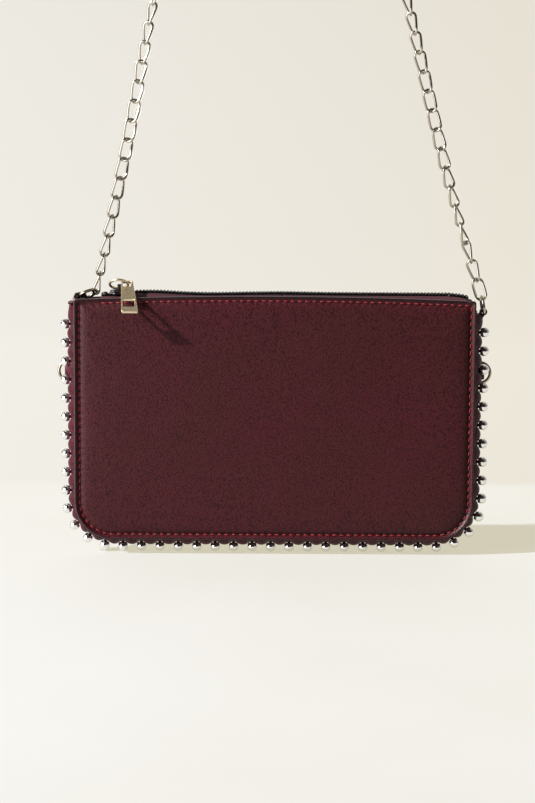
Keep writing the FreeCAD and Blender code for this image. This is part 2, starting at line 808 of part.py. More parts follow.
doc.recompute()
for thing in doc.Objects:
    if "Invalid" in thing.State or "Error" in thing.State:
        raise RuntimeError("failed: " + thing.Label)
os.makedirs("parts", exist_ok=True)
whole = FreeCAD.BoundBox()
strap_names = ("chain_strap", "chain_end_link_left", "chain_end_link_right")
for node in nodes:
    shape = node.Shape
    if shape.isNull() or not shape.isValid() or not shape.Solids:
        raise RuntimeError("bad shape: " + node.Label)
    if node.Label not in strap_names:
        whole.add(shape.BoundBox)
    shape.exportStep("parts/%s.step" % node.Label)
print("nodes", len(nodes))
print("box without the strap", whole)
print("strap length", strap_path.Length, "smallest bend", min(strap_radii))
print("strap volume over section times length",
      strap.Volume / (math.pi * size["chain_radius"] ** 2 * strap_path.Length))
print("left hang", left_tip - left_way * hang, "right hang", right_tip - right_way * hang)
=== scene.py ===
"""Chain wallet: studded leather panels, a coil zip, D-rings and a twisted-link chain strap.

Every length below is in millimetres from the wallet's middle plane unless its name says
otherwise, and at() turns a point into the shared frame's metres.
"""
import math

import bmesh
import bpy
from mathutils import Matrix, Vector, noise


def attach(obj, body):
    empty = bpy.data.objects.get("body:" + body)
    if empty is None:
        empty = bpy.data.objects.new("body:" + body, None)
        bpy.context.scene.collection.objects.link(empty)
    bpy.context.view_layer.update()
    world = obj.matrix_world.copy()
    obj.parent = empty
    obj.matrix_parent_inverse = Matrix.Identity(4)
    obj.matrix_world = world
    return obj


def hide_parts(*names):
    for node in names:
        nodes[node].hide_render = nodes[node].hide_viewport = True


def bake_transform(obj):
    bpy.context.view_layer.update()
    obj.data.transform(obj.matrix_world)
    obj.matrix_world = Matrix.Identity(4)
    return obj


MM = 0.001
MID_Y = 5.97

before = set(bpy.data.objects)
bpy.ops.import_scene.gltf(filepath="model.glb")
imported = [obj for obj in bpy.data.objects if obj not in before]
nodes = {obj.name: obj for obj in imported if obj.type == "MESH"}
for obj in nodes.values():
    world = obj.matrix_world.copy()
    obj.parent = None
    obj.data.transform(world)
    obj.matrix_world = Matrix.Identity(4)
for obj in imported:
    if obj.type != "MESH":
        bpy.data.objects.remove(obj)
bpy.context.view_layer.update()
view = bpy.context.scene.view_settings
view.view_transform = "Standard"


def at(x, y, z):
    """A point in millimetres from the middle plane as a vector in metres."""
    return Vector((x * MM, (MID_Y + y) * MM, z * MM))


def clamp(value):
    return min(max(value, 0.0), 1.0)


def show(thing):
    """Puts an object into the scene."""
    bpy.context.scene.collection.objects.link(thing)
    return thing


def mesh_of(data):
    """The mesh of a curve, which is then dropped."""
    carrier = show(bpy.data.objects.new(data.name, data))
    bpy.context.view_layer.update()
    mesh = bpy.data.meshes.new_from_object(carrier)
    bpy.data.objects.remove(carrier)
    return mesh


# ---------------------------------------------------------------- camera

SENSOR_MM = 36.0
LENS_MM = 85.02366
CAMERA_TARGET = (-3.5, 0, 76.9)
CAMERA_DISTANCE = 957.0
CAMERA_ELEVATION = math.radians(6.2)
CAMERA_ROLL = math.radians(0.31)


def add_camera():
    """Looks a little down on the front, from just under a metre away."""
    away = Vector((0, -math.cos(CAMERA_ELEVATION), math.sin(CAMERA_ELEVATION)))
    data = bpy.data.cameras.new("camera")
    data.sensor_fit = "VERTICAL"
    data.sensor_height = SENSOR_MM
    data.lens = LENS_MM
    data.clip_start = 0.01
    camera = show(bpy.data.objects.new("camera", data))
    camera.location = at(*CAMERA_TARGET) + away * (CAMERA_DISTANCE * MM)
    turn = away.to_track_quat("Z", "Y").to_matrix() @ Matrix.Rotation(CAMERA_ROLL, 3, "Z")
    camera.rotation_euler = turn.to_euler()
    bpy.context.scene.camera = camera


add_camera()


# ---------------------------------------------------------------- making pieces

def add_piece(name, points, faces, materials, body="root"):
    """A mesh of points in metres, with outward normals, riding on a body."""
    mesh = bpy.data.meshes.new(name)
    mesh.from_pydata(points, [], faces)
    for material in materials:
        mesh.materials.append(material)
    work = bmesh.new()
    work.from_mesh(mesh)
    bmesh.ops.recalc_face_normals(work, faces=work.faces)
    for face in work.faces:
        face.smooth = True
    work.to_mesh(mesh)
    work.free()
    piece = show(bpy.data.objects.new(name, mesh))
    if body:
        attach(piece, body)
    return piece


class Solid:
    """Collects points and faces of one piece that is made of many parts."""

    def __init__(self):
        self.points = []
        self.faces = []

    def rings(self, rings, closed_along=False):
        """Joins equal rings of points by quads, with end caps unless they close on themselves."""
        first = len(self.points)
        count = len(rings[0])
        for ring in rings:
            self.points.extend(ring)
        spans = len(rings) if closed_along else len(rings) - 1
        for row in range(spans):
            here = first + row * count
            ahead = first + ((row + 1) % len(rings)) * count
            for column in range(count):
                side = (column + 1) % count
                self.faces.append((here + column, here + side, ahead + side, ahead + column))
        if not closed_along:
            last = first + (len(rings) - 1) * count
            self.faces.append(tuple(range(first + count - 1, first - 1, -1)))
            self.faces.append(tuple(range(last, last + count)))

    def piece(self, name, material, body="root"):
        return add_piece(name, self.points, self.faces, [material], body)


def circle_of(centre, across, up, radius, sides):
    """A ring of points about a centre, in the plane of two unit vectors."""
    ring = []
    for number in range(sides):
        angle = 2 * math.pi * number / sides
        ring.append(centre + across * (radius * math.cos(angle)) + up * (radius * math.sin(angle)))
    return ring


def tube_rings(path, radius, sides, closed=False):
    """Rings of points square to a path, turned as little as possible on the way."""
    count = len(path)
    rings = []
    normal = None
    for number, point in enumerate(path):
        before = path[number - 1] if closed or number else point
        after = path[(number + 1) % count] if closed or number + 1 < count else point
        along = (after - before).normalized()
        if normal is None:
            normal = along.orthogonal().normalized()
        normal = (normal - along * normal.dot(along)).normalized()
        rings.append(circle_of(point, normal, along.cross(normal), radius, sides))
    return rings


# ---------------------------------------------------------------- materials

def srgb(red, green, blue):
    """Turns display values from 0 to 255 into the linear colour that shaders take."""
    linear = []
    for value in (red / 255, green / 255, blue / 255):
        linear.append(value / 12.92 if value <= 0.04045 else ((value + 0.055) / 1.055) ** 2.4)
    return (*linear, 1.0)


class Shader:
    """A material with a principled surface and short calls for its nodes."""

    def __init__(self, name, colour, roughness, metallic=0.0):
        self.material = bpy.data.materials.new(name)
        self.material.use_nodes = True
        self.nodes = self.material.node_tree.nodes
        self.links = self.material.node_tree.links
        self.surface = self.nodes["Principled BSDF"]
        self.put("Base Color", colour)
        self.put("Roughness", roughness)
        self.put("Metallic", metallic)
        self.place = self.node("ShaderNodeTexCoord").outputs["Object"]

    def feed(self, made, inputs):
        """Sets or links a node's inputs, given as pairs of a name or number and a value."""
        for key, value in inputs:
            if isinstance(value, bpy.types.NodeSocket):
                self.links.new(value, made.inputs[key])
            else:
                made.inputs[key].default_value = value

    def put(self, socket, value):
        """Sets or links an input of the surface."""
        self.feed(self.surface, [(socket, value)])

    def node(self, kind, inputs=None, **settings):
        made = self.nodes.new(kind)
        for name, value in settings.items():
            setattr(made, name, value)
        self.feed(made, (inputs or {}).items())
        return made

    def noise(self, scale, detail):
        inputs = {"Vector": self.place, "Scale": scale, "Detail": detail}
        return self.node("ShaderNodeTexNoise", inputs).outputs["Fac"]

    def cells(self, scale):
        inputs = {"Vector": self.place, "Scale": scale, "Smoothness": 0.4}
        made = self.node("ShaderNodeTexVoronoi", inputs, feature="SMOOTH_F1")
        return made.outputs["Distance"]

    def wave(self, scale, direction):
        inputs = {"Vector": self.place, "Scale": scale}
        made = self.node("ShaderNodeTexWave", inputs, bands_direction=direction)
        return made.outputs["Fac"]

    def spread(self, value, low, high, to_low=0.0, to_high=1.0):
        inputs = {"Value": value, "From Min": low, "From Max": high, "To Min": to_low,
                  "To Max": to_high}
        return self.node("ShaderNodeMapRange", inputs).outputs["Result"]

    def maths(self, operation, first, second):
        made = self.node("ShaderNodeMath", operation=operation)
        self.feed(made, enumerate((first, second)))
        return made.outputs[0]

    def mix(self, factor, first, second):
        made = self.node("ShaderNodeMix", data_type="RGBA")
        self.feed(made, ((0, factor), (6, first), (7, second)))
        return made.outputs[2]

    def bump(self, height, depth, strength=1.0):
        inputs = {"Height": height, "Distance": depth, "Strength": strength}
        self.put("Normal", self.node("ShaderNodeBump", inputs).outputs["Normal"])


LEATHER_ROUGHNESS = 0.42
LEATHER_SHEEN = 0.14
RELIEF_M = 0.00012
WEAVE_SCALE = 0.31


def leather(name, colour, other, deep, grain=1150.0):
    """Pebbled leather whose colour drifts slowly, with painted shade darkening the crevices
    between the pebbles.
    """
    shader = Shader(name, colour, LEATHER_ROUGHNESS)
    drift = shader.spread(shader.noise(22.0, 2.0), 0.35, 0.65)
    tone = shader.mix(drift, colour, other)
    pebbles = shader.cells(grain)
    fine = shader.noise(3600.0, 2.0)
    height = shader.maths("ADD", shader.maths("MULTIPLY", pebbles, -1.0),
                          shader.maths("MULTIPLY", fine, 0.45))
    # Painted shade: the colour goes over to the deep colour towards the crevices between the
    # pebbles.
    shader.put("Base Color", shader.mix(shader.spread(pebbles, 0.35, 0.75), tone, deep))
    shader.put("Specular IOR Level", LEATHER_SHEEN)
    worn = shader.maths("MULTIPLY", shader.noise(160.0, 3.0), 0.16)
    shader.put("Roughness", shader.maths("ADD", worn, LEATHER_ROUGHNESS - 0.08))
    shader.bump(height, RELIEF_M)
    return shader.material


def woven(name, colour, deep, pitch):
    """A plain weave whose threads run along the three axes."""
    shader = Shader(name, colour, 0.75)
    across, depth, up = (shader.wave(WEAVE_SCALE / pitch, axis) for axis in "XYZ")
    weave = shader.maths("MAXIMUM", shader.maths("MULTIPLY", across, up), depth)
    shader.put("Base Color", shader.mix(weave, deep, colour))
    shader.bump(weave, RELIEF_M)
    return shader.material


def metal(name, colour, roughness, streaks=0.0):
    """Plated metal with faint wear in its polish."""
    shader = Shader(name, colour, roughness, 1.0)
    wear = shader.noise(900.0, 3.0)
    shader.put("Roughness", shader.spread(wear, 0.3, 0.7, roughness, roughness + 0.08))
    if streaks:
        shader.bump(shader.noise(1800.0, 2.0), 0.00003, streaks)
    return shader.material


def twisted_thread(name, colour, deep):
    """Waxed thread with its twist."""
    shader = Shader(name, colour, 0.55)
    twist = shader.wave(1500.0, "DIAGONAL")
    shader.put("Base Color", shader.mix(twist, deep, colour))
    shader.bump(twist, 0.00008)
    return shader.material


def plain(name, colour, roughness):
    """A dull or satin surface with fine unevenness."""
    shader = Shader(name, colour, roughness)
    uneven = shader.noise(1500.0, 3.0)
    shader.put("Roughness", shader.spread(uneven, 0.3, 0.7, roughness - 0.05, roughness + 0.1))
    shader.put("Specular IOR Level", 0.25)
    shader.bump(uneven, 0.00004, 0.6)
    return shader.material


# Each leather's last colour is painted shade for the crevices between its pebbles.
LEATHER = leather("leather", srgb(62, 21, 27), srgb(58, 23, 25), srgb(40, 11, 15))
BAND_LEATHER = leather("band_leather", srgb(66, 12, 26), srgb(56, 10, 20), srgb(34, 5, 10),
                       grain=1500.0)
DARK_LEATHER = leather("dark_leather", srgb(30, 14, 18), srgb(26, 12, 16), srgb(14, 6, 8))
EDGE_PAINT = plain("edge_paint", srgb(4, 2, 3), 0.6)
# Painted highlight: light grey for the gloss along the black edge paint.
EDGE_HIGHLIGHT = plain("painted_edge_highlight", srgb(84, 76, 78), 0.4)
LINING = woven("lining_cloth", srgb(58, 40, 44), srgb(30, 20, 24), 0.4)
BOARD = plain("board", srgb(90, 84, 78), 0.8)
TAPE = woven("tape_weave", srgb(86, 12, 34), srgb(40, 4, 14), 0.42)
COIL = plain("coil_nylon", srgb(9, 8, 9), 0.34)
DARK_METAL = metal("dark_metal", srgb(70, 66, 66), 0.25)
NICKEL = metal("warm_nickel", srgb(232, 214, 180), 0.26, 0.1)
RING_METAL = metal("ring_metal", srgb(176, 164, 144), 0.12)
CHAIN_METAL = metal("chain_metal", srgb(186, 178, 164), 0.1)
CHROME = metal("chrome", srgb(238, 238, 236), 0.04)
STEEL = metal("steel", srgb(170, 168, 164), 0.3)
THREAD = twisted_thread("red_thread", srgb(158, 8, 28), srgb(96, 3, 14))
# Painted shade: a dark colour for the shade inside the stitch holes.
HOLE_SHADE = plain("hole", srgb(22, 8, 12), 0.8)


# ---------------------------------------------------------------- chain strap

CHAIN_ROUTE = [
    (-77.6, 186.0),
    (-68.6, 234.0),
    (-61.0, 277.0),
    (-49.0, 312.0),
    (-24.0, 336.0),
    (9.0, 342.0),
    (39.0, 330.0),
    (58.0, 302.0),
    (67.5, 264.0),
    (78.5, 218.0),
    (90.2, 172.0),
]
LEFT_RING = (-96.6, 129.45, 24.0)
RIGHT_RING = (104.6, 122.9, 97.8)
TOP_RING_HALF = 4.2
TOP_RING_DEPTH = 7.6
RING_WIRE = 0.8
LINK_WIRE = 0.66
LINK_LENGTH = 11.1
LINK_HALF_WIDTH = 2.62
LINK_TWIST = math.radians(58.0)
LINK_PITCH = 9.82
LINK_PLAY = 0.3
LINK_STEPS = 44
# Angle of the links' plane from the view's plane, along the strap from its left end and
# from its right end.
LEFT_TURN = [(0.0, 82.0), (53.0, 31.0), (85.0, 0.0), (109.0, -23.0), (147.0, -60.0)]
RIGHT_TURN = [(153.0, 62.0), (136.0, 45.0), (116.0, 25.0), (95.0, 0.0), (75.0, -25.0),
              (54.0, -50.0), (34.0, -67.0), (26.0, -111.0), (16.0, -133.0), (6.0, -175.0)]


def ring_tip(x, z, tilt):
    """The far point of a strap ring."""
    angle = math.radians(tilt)
    return Vector((x + TOP_RING_DEPTH * math.cos(angle), 0, z + TOP_RING_DEPTH * math.sin(angle)))


def hang_point(ring, next_point):
    """Where the wire of the link that hangs on a ring passes inside the ring's wire."""
    tip = ring_tip(*ring)
    way = (Vector((next_point[0], 0, next_point[1])) - tip).normalized()
    return tip - way * (RING_WIRE + LINK_WIRE + LINK_PLAY)


def route_line(points):
    """Points along the smooth spline that the route's points control."""
    data = bpy.data.curves.new("strap_route", "CURVE")
    data.dimensions = "3D"
    data.resolution_u = 24
    spline = data.splines.new("NURBS")
    spline.points.add(len(points) - 1)
    for place, point in zip(spline.points, points):
        place.co = (*point, 1.0)
    spline.order_u = 3
    spline.use_endpoint_u = True
    mesh = mesh_of(data)
    line = [vertex.co.copy() for vertex in mesh.vertices]
    bpy.data.meshes.remove(mesh)
    return line


class Line:
    """A line of points that can be read by distance along it."""

    def __init__(self, points):
        self.points = points
        self.marks = [0.0]
        for before, after in zip(points, points[1:]):
            self.marks.append(self.marks[-1] + (after - before).length)
        self.length = self.marks[-1]

    def read(self, distance):
        """The point at a distance along the line, and the direction there."""
        distance = min(max(distance, 0.0), self.length)
        number = 1
        while number < len(self.marks) - 1 and self.marks[number] < distance:
            number += 1
        before = self.points[number - 1]
        after = self.points[number]
        span = self.marks[number] - self.marks[number - 1]
        share = (distance - self.marks[number - 1]) / span
        return before.lerp(after, share), (after - before).normalized()


def link_angle(distance, length):
    """The angle of the links' plane at a distance along the strap, in degrees."""
    marks = list(LEFT_TURN)
    marks.extend((length - back, turn - 180.0) for back, turn in RIGHT_TURN)
    if distance <= marks[0][0]:
        return marks[0][1]
    for (start, low), (end, high) in zip(marks, marks[1:]):
        if distance <= end:
            return low + (high - low) * (distance - start) / (end - start)
    return marks[-1][1]


def oval(share):
    """A point of a link's flat oval: its place along the strap and across it."""
    straight = LINK_LENGTH - 2 * LINK_HALF_WIDTH
    turn = math.pi * LINK_HALF_WIDTH
    total = 2 * straight + 2 * turn
    run = share * total
    if run < straight:
        return run - straight / 2, -LINK_HALF_WIDTH
    run -= straight
    if run < turn:
        angle = run / LINK_HALF_WIDTH - math.pi / 2
        return (straight / 2 + LINK_HALF_WIDTH * math.cos(angle),
                LINK_HALF_WIDTH * math.sin(angle))
    run -= turn
    if run < straight:
        return straight / 2 - run, LINK_HALF_WIDTH
    run -= straight
    angle = run / LINK_HALF_WIDTH + math.pi / 2
    return -straight / 2 + LINK_HALF_WIDTH * math.cos(angle), LINK_HALF_WIDTH * math.sin(angle)


def chain_strap():
    """One mesh of twisted links along the strap's route, from one D-ring to the other."""
    first = hang_point(LEFT_RING, CHAIN_ROUTE[0])
    last = hang_point(RIGHT_RING, CHAIN_ROUTE[-1])
    route = [at(first.x, 0, first.z)]
    route.extend(at(x, 0, z) for x, z in CHAIN_ROUTE)
    route.append(at(last.x, 0, last.z))
    line = Line(route_line(route))
    length = line.length / MM
    count = math.ceil((length - LINK_LENGTH) / LINK_PITCH) + 1
    pitch = (length - LINK_LENGTH) / (count - 1)
    solid = Solid()
    for number in range(count):
        middle = LINK_LENGTH / 2 + number * pitch
        centre, along = line.read(middle * MM)
        flat = Vector((along.z, 0, -along.x))
        side = along.cross(flat)
        lean = math.radians(link_angle(middle, length))
        wire = []
        for step in range(LINK_STEPS):
            forward, across = oval(step / LINK_STEPS)
            angle = lean + LINK_TWIST * forward / LINK_LENGTH
            spread = flat * math.cos(angle) + side * math.sin(angle)
            wire.append(centre + along * (forward * MM) + spread * (across * MM))
        solid.rings(tube_rings(wire, LINK_WIRE * MM, 10, closed=True), closed_along=True)
    strap = solid.piece("chain_links", CHAIN_METAL, "strap")
    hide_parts("chain_strap", "chain_end_link_left", "chain_end_link_right")


chain_strap()


# ---------------------------------------------------------------- outline of the panels

PANEL_HALF = 100.0
PANEL_LOW = 7.95
PANEL_TOP = 128.5
PANEL_RISE = 2.0
PANEL_CORNER = 19.0
TOP_CORNER = 1.3
INNER_FACE = 7.9
STATION = 1.1
SEAM_INSET = 2.4
STITCH_PITCH = 3.62


def top_edge(x):
    """Height of the panel's gently arched top."""
    return PANEL_TOP + PANEL_RISE * (1 - (x / PANEL_HALF) ** 2)


def spaced(start, end, count):
    """Points from start up to but not including end."""
    return [start + (end - start) * number / count for number in range(count)]


def outline(inset):
    """The panel's outline drawn in by an inset, with the same stations at every inset."""
    low_radius = max(PANEL_CORNER - inset, 0.4)
    top_radius = max(TOP_CORNER - inset, 0.12)
    half = PANEL_HALF - inset
    bend = PANEL_LOW + inset + low_radius
    flat = half - low_radius
    shoulder = half - top_radius
    high = top_edge(shoulder) - inset
    sides = round((PANEL_TOP - PANEL_LOW - PANEL_CORNER) / STATION)
    turns = round(PANEL_CORNER * math.pi / 2 / STATION)
    width = round(2 * (PANEL_HALF - PANEL_CORNER) / STATION)
    across = round(2 * PANEL_HALF / STATION)
    points = [(-half, z) for z in spaced(high - top_radius, bend, sides)]
    for angle in spaced(math.pi, 1.5 * math.pi, turns):
        points.append((-flat + low_radius * math.cos(angle), bend + low_radius * math.sin(angle)))
    points.extend((x, PANEL_LOW + inset) for x in spaced(-flat, flat, width))
    for angle in spaced(1.5 * math.pi, 2 * math.pi, turns):
        points.append((flat + low_radius * math.cos(angle), bend + low_radius * math.sin(angle)))
    points.extend((half, z) for z in spaced(bend, high - top_radius, sides))
    for angle in spaced(0, math.pi / 2, 4):
        points.append((shoulder + top_radius * math.cos(angle),
                       high - top_radius + top_radius * math.sin(angle)))
    points.extend((x, top_edge(x) - inset) for x in spaced(shoulder, -shoulder, across))
    for angle in spaced(math.pi / 2, math.pi, 4):
        points.append((-shoulder + top_radius * math.cos(angle),
                       high - top_radius + top_radius * math.sin(angle)))
    return points


class Seam:
    """The line of stitching round a panel, with its stitches and the holes between them."""

    def __init__(self):
        loop = outline(SEAM_INSET)
        self.marks = [0.0]
        for before, after in zip(loop, loop[1:] + loop[:1]):
            self.marks.append(self.marks[-1] + math.dist(before, after))
        self.loop = loop + loop[:1]
        self.length = self.marks[-1]
        self.count = round(self.length / STITCH_PITCH)
        self.pitch = self.length / self.count

    def read(self, distance):
        distance %= self.length
        number = 1
        while self.marks[number] < distance:
            number += 1
        (x, z), (next_x, next_z) = self.loop[number - 1], self.loop[number]
        span = self.marks[number] - self.marks[number - 1]
        share = (distance - self.marks[number - 1]) / span
        way = Vector((next_x - x, 0, next_z - z)).normalized()
        return Vector((x + (next_x - x) * share, 0, z + (next_z - z) * share)), way

    def pull(self, station):
        """How strongly the thread pulls the leather in at a station, from 0 to 1."""
        phase = self.marks[station] / self.pitch
        return 0.5 + 0.5 * math.cos(2 * math.pi * phase)


seam = Seam()


# ---------------------------------------------------------------- leather panels

# Inset from the outline and height above the panel's inner face.
PANEL_RINGS = [
    (0.30, 0.00), (0.06, 0.20), (0.00, 0.60), (0.00, 1.10), (0.00, 1.75), (0.10, 2.05),
    (0.28, 2.22), (0.50, 2.26), (0.75, 2.16), (1.15, 1.84), (1.60, 1.44), (2.00, 1.16),
    (2.28, 1.04), (2.50, 1.04), (2.75, 1.14), (3.10, 1.40), (3.60, 1.70), (4.40, 1.96),
    (5.80, 2.20), (7.50, 2.36), (10.0, 2.50), (13.0, 2.58), (17.0, 2.66), (22.0, 2.72),
    (28.0, 2.76), (35.0, 2.79), (42.0, 2.81), (49.0, 2.82), (56.0, 2.83),
]
EDGE_RINGS = 7
TOP_FLATNESS = 0.62
GROOVE = 1.04
SEAM_PULL = 0.38
RIPPLE = 0.05
SWELL = 0.35
STITCH_RADIUS = 0.29
STITCH_RISE = 0.30


def leather_panel(name, node, side):
    """A panel with a painted raised edge, a stitched groove and soft padding."""
    points = []
    stations = len(outline(0.0))
    for inset, height in PANEL_RINGS:
        shape = outline(inset)
        near_seam = math.exp(-((inset - 3.2) / 0.9) ** 2)
        soft = clamp((inset - 4.0) / 16.0)
        for station, (x, z) in enumerate(shape):
            rise = height - SEAM_PULL * near_seam * seam.pull(station)
            top = clamp((z - 121.0) / 4.0) * clamp((97.5 - abs(x)) / 2.0)
            if 0.05 < inset < 3.0:
                rise = GROOVE + (rise - GROOVE) * (1 - TOP_FLATNESS * top)
            if inset > 1.0:
                ripple = noise.noise(Vector((x * 0.35, side * 3.0, z * 0.35)))
                rise += RIPPLE * ripple
            swell = noise.noise(Vector((x * 0.022, side * 7.0, z * 0.022)))
            points.append(at(x, side * (INNER_FACE + rise + SWELL * soft * swell), z))
    faces = []
    for row in range(len(PANEL_RINGS) - 1):
        for station in range(stations):
            here = row * stations
            ahead = here + stations
            turn = (station + 1) % stations
            faces.append((here + station, here + turn, ahead + turn, ahead + station))
    faces.append(tuple(range(stations)))
    last = (len(PANEL_RINGS) - 1) * stations
    faces.append(tuple(range(last, last + stations)))
    panel = add_piece(name, points, faces, [LEATHER, EDGE_PAINT])
    for number, face in enumerate(panel.data.polygons):
        if number < EDGE_RINGS * stations:
            face.material_index = 1
    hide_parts(node)


def stitches(name, side):
    """Short red stitches that dip into their holes, all round one panel, with dark discs in the
    holes as painted shade.
    """
    solid = Solid()
    holes = Solid()
    out = Vector((0, side, 0))
    floor = INNER_FACE + GROOVE + 0.02
    for number in range(seam.count):
        centre, way = seam.read((number + 0.5) * seam.pitch)
        if centre.z > PANEL_TOP - 8 and centre.x < -88.5 and abs(way.x) > 0.5:
            continue
        across = way.cross(out)
        length = 0.5 * seam.pitch - 0.62
        slant = 0.10
        rings = []
        for step in range(9):
            share = -1 + step / 4
            lift = STITCH_RISE * (1 - share * share) - 0.10
            radius = STITCH_RADIUS * (1 - 0.55 * share ** 4)
            spot = centre + way * (share * length) + across * (slant * share)
            spot = at(spot.x, side * (floor + lift), spot.z)
            rings.append(circle_of(spot, across, out, radius * MM, 8))
        solid.rings(rings)
        # Painted shade: a dark disc sits in each stitch hole for the shade inside it.
        hole, _ = seam.read(number * seam.pitch)
        spot = at(hole.x, side * (floor - 0.20), hole.z)
        rim = at(hole.x, side * (floor - 0.02), hole.z)
        along = Vector((way.x, 0, way.z))
        holes.rings([circle_of(spot, along, across, 0.5 * MM, 10),
                     circle_of(rim, along, across, 0.42 * MM, 10)])
    thread = solid.piece(name, THREAD)
    dark = holes.piece(name + "_holes", HOLE_SHADE)


def edge_highlight_line(name, side):
    """A thin light grey line along the painted edge, a painted highlight standing in for the gloss
    of the edge paint.
    """
    path = [at(x, side * (INNER_FACE + 1.9), z) for x, z in outline(0.08)]
    solid = Solid()
    solid.rings(tube_rings(path, 0.13 * MM, 6, closed=True), closed_along=True)
    piece = solid.piece(name, EDGE_HIGHLIGHT)


edge_highlight_line("front_edge_line", -1)
edge_highlight_line("back_edge_line", 1)
leather_panel("front_leather", "front_panel", -1)
leather_panel("back_leather", "back_panel", 1)
stitches("front_stitches", -1)
stitches("back_stitches", 1)


# ---------------------------------------------------------------- gusset and studs

GUSSET_LEFT_TOP = 126.2
GUSSET_RIGHT_TOP = 121.9
STUD_RADIUS = 2.65
STUD_REACH = 5.3
STUD_FIRST = 115.6
STUD_LAST = 112.4
STUD_COUNT = 45


def along_outline(reach, left_top, right_top, distance):
    """A point and its outward direction, from the left top round to the right top."""
    turn = PANEL_CORNER + reach
    bend = PANEL_LOW + PANEL_CORNER
    flat = PANEL_HALF - PANEL_CORNER
    quarter = turn * math.pi / 2
    left_run = left_top - bend
    if distance <= left_run:
        return Vector((-PANEL_HALF - reach, 0, left_top - distance)), Vector((-1, 0, 0))
    distance -= left_run
    if distance <= quarter:
        angle = math.pi + distance / turn
        out = Vector((math.cos(angle), 0, math.sin(angle)))
        return Vector((-flat, 0, bend)) + out * turn, out
    distance -= quarter
    if distance <= 2 * flat:
        return Vector((distance - flat, 0, PANEL_LOW - reach)), Vector((0, 0, -1))
    distance -= 2 * flat
    if distance <= quarter:
        angle = 1.5 * math.pi + distance / turn
        out = Vector((math.cos(angle), 0, math.sin(angle)))
        return Vector((flat, 0, bend)) + out * turn, out
    distance -= quarter
    return Vector((PANEL_HALF + reach, 0, bend + distance)), Vector((1, 0, 0))


def run_length(reach, left_top, right_top):
    bend = PANEL_LOW + PANEL_CORNER
    quarters = (PANEL_CORNER + reach) * math.pi
    return left_top - bend + quarters + 2 * (PANEL_HALF - PANEL_CORNER) + right_top - bend


def stud_places():
    total = run_length(STUD_REACH, STUD_FIRST, STUD_LAST)
    places = []
    for number in range(STUD_COUNT):
        distance = total * number / (STUD_COUNT - 1)
        places.append(along_outline(STUD_REACH, STUD_FIRST, STUD_LAST, distance))
    return places


STUDS = stud_places()
BAND_HALF = 7.75
BAND_FOOT = -1.5
BAND_CREST = 4.35
BAND_DIP = 1.9
BAND_SHEET = 1.1
BAND_LINING = 0.5
BAND_COLUMNS = 27


def band_reach(foot, y, top_share):
    """How far the band stands out at a place, dipping under each ball."""
    crest = BAND_CREST * top_share
    for spot, out in STUDS:
        gap = (spot - out * STUD_REACH - foot).length
        if gap < 8:
            crest -= BAND_DIP * math.exp(-(gap / 2.4) ** 2)
    arch = (1 - abs(y / BAND_HALF) ** 2.2) ** 0.9
    return BAND_FOOT + (crest - BAND_FOOT) * arch


def band_sheet(name, node, top, bottom, narrow, material):
    """A sheet between the panels, pulled in under each stud, between two depths."""
    total = run_length(0.0, GUSSET_LEFT_TOP, GUSSET_RIGHT_TOP)
    count = round(total / 0.8)
    rings = []
    for number in range(count + 1):
        distance = total * number / count
        foot, out = along_outline(0.0, GUSSET_LEFT_TOP, GUSSET_RIGHT_TOP, distance)
        top_share = min(0.72 + distance / 30.0, 1.0)
        outer = []
        inner = []
        for column in range(BAND_COLUMNS):
            y = BAND_HALF * math.sin(math.pi * (column / (BAND_COLUMNS - 1) - 0.5))
            reach = band_reach(foot, y, top_share)
            crease = 0.06 * noise.noise(Vector((foot.x * 0.5, y * 0.5, foot.z * 0.5)))
            for row, depth, wide in ((outer, top, narrow), (inner, bottom, narrow * 0.95)):
                spot = foot + out * (max(reach + crease, BAND_FOOT - 0.2) - depth)
                row.append(at(spot.x, y * wide, spot.z))
        rings.append(outer + inner[::-1])
    solid = Solid()
    solid.rings(rings)
    sheet = solid.piece(name, material)
    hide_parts(node)
    return sheet


def stud_backs():
    """The washers that hold the studs' shanks under the lining."""
    solid = Solid()
    side = Vector((0, 1, 0))
    face = BAND_CREST - BAND_DIP - BAND_SHEET - BAND_LINING - 0.15
    for spot, out in STUDS:
        across = out.cross(side)
        rings = []
        for radius, depth in ((1.5, 0.0), (1.9, 0.0), (1.9, 0.5), (1.5, 0.5)):
            centre = spot + out * (face - STUD_REACH - depth)
            rings.append(circle_of(at(centre.x, 0, centre.z), across, side, radius * MM, 20))
        solid.rings(rings)
    piece = solid.piece("stud_backs", STEEL)
    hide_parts("stud_washers")


def stud_profile():
    """Distance from the axis and height above the ball's centre, from shank to top."""
    profile = [(0.8, -5.4), (0.8, -2.1), (1.7, -1.95), (2.1, -1.78)]
    start = math.asin(-1.62 / STUD_RADIUS)
    for step in range(15):
        angle = start + (math.pi / 2 - start) * step / 15
        profile.append((STUD_RADIUS * math.cos(angle), STUD_RADIUS * math.sin(angle)))
    profile.append((0.02, STUD_RADIUS))
    return profile


def stud_rows():
    """Ball studs in three groups, as the model names them."""
    groups = {"studs_left": Solid(), "studs_bottom": Solid(), "studs_right": Solid()}
    side = Vector((0, 1, 0))
    for spot, out in STUDS:
        if out.z < -0.9:
            group = "studs_bottom"
        elif out.x < 0:
            group = "studs_left"
        else:
            group = "studs_right"
        across = out.cross(side)
        rings = []
        for radius, height in stud_profile():
            centre = spot + out * height
            rings.append(circle_of(at(centre.x, 0, centre.z), across, side, radius * MM, 28))
        groups[group].rings(rings)
    for node, solid in groups.items():
        piece = solid.piece(node.replace("studs", "ball_studs"), CHROME)
        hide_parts(node)


